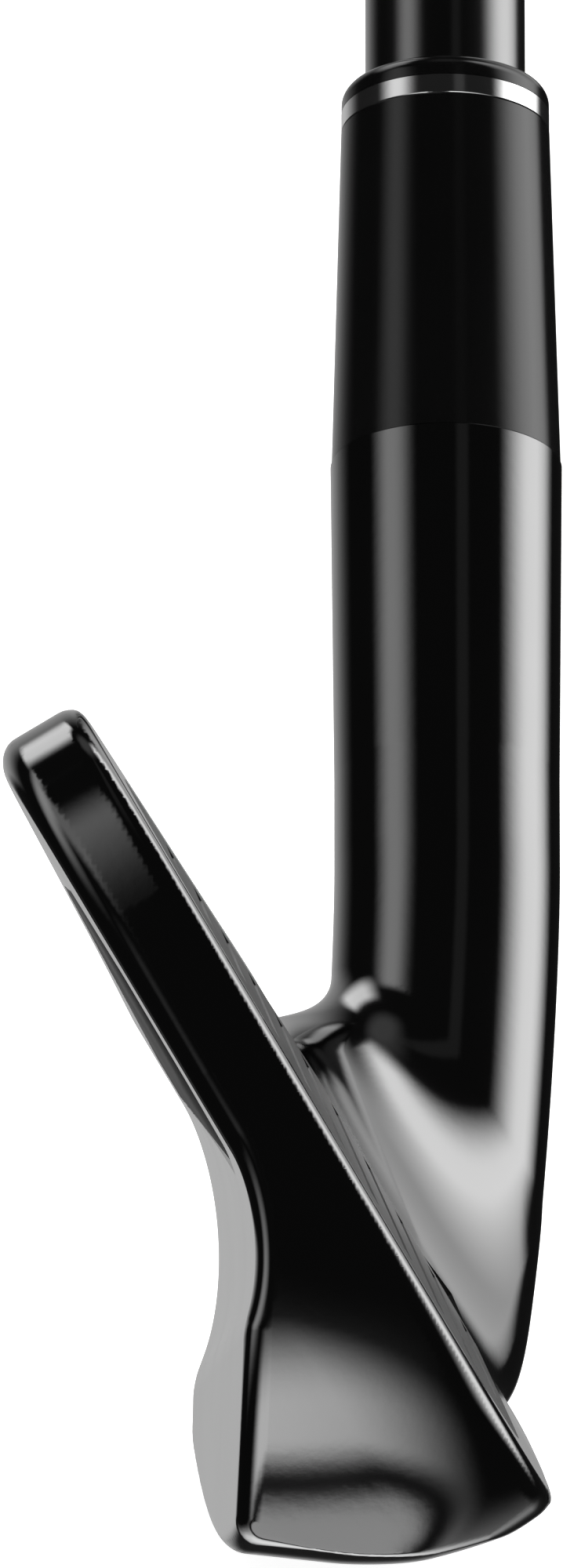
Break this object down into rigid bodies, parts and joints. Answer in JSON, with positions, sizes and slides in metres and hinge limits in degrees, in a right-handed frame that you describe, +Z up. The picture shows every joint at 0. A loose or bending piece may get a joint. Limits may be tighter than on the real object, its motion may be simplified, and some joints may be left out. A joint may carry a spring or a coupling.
{
  "type": "iron golf club",
  "caption": "Right-handed mid iron with a hollow muscle-back head, long ringed ferrule, stepped steel shaft and rubber grip.",
  "frame": {"origin": "the sole's lowest point, with the club held at address on level ground", "axes": "+X towards the target, +Y from toe to heel, +Z up; the shaft axis leans 62 degrees from the ground in the YZ plane"},
  "size_m": [0.0412, 0.5282, 0.8355],
  "materials": {
    "head_body": "black polished plating over forged steel",
    "face_plate": "black plating, finely blasted, milled scorelines",
    "foam_core": "cast urethane filler",
    "toe_weight": "sintered dense metal",
    "badge_pad": "adhesive foam pad",
    "back_badge": "black satin anodised",
    "hosel_epoxy": "cured two-part glue",
    "tip_plug": "moulded stopper",
    "ferrule_body": "turned and buffed black",
    "ferrule_ring": "polished",
    "ferrule_cap": "turned and buffed black",
    "shaft": "gloss black over a stepped steel tube",
    "shaft_band": "vinyl band, plain stripes",
    "grip_tape": "double-sided tape",
    "grip_sleeve": "moulded, patterned",
    "grip_cap": "moulded, hard"
  },
  "bodies": {
    "root": {"head_body": "head_body", "face_plate": "face_plate", "foam_core": "foam_core", "toe_weight": "toe_weight", "badge_pad": "badge_pad", "back_badge": "back_badge", "hosel_epoxy": "hosel_epoxy", "tip_plug": "tip_plug", "ferrule_body": "ferrule_body", "ferrule_ring": "ferrule_ring", "ferrule_cap": "ferrule_cap", "shaft": "shaft", "shaft_band": "shaft_band", "grip_tape": "grip_tape", "grip_sleeve": "grip_sleeve", "grip_cap": "grip_cap"}
  },
  "joints": []
}
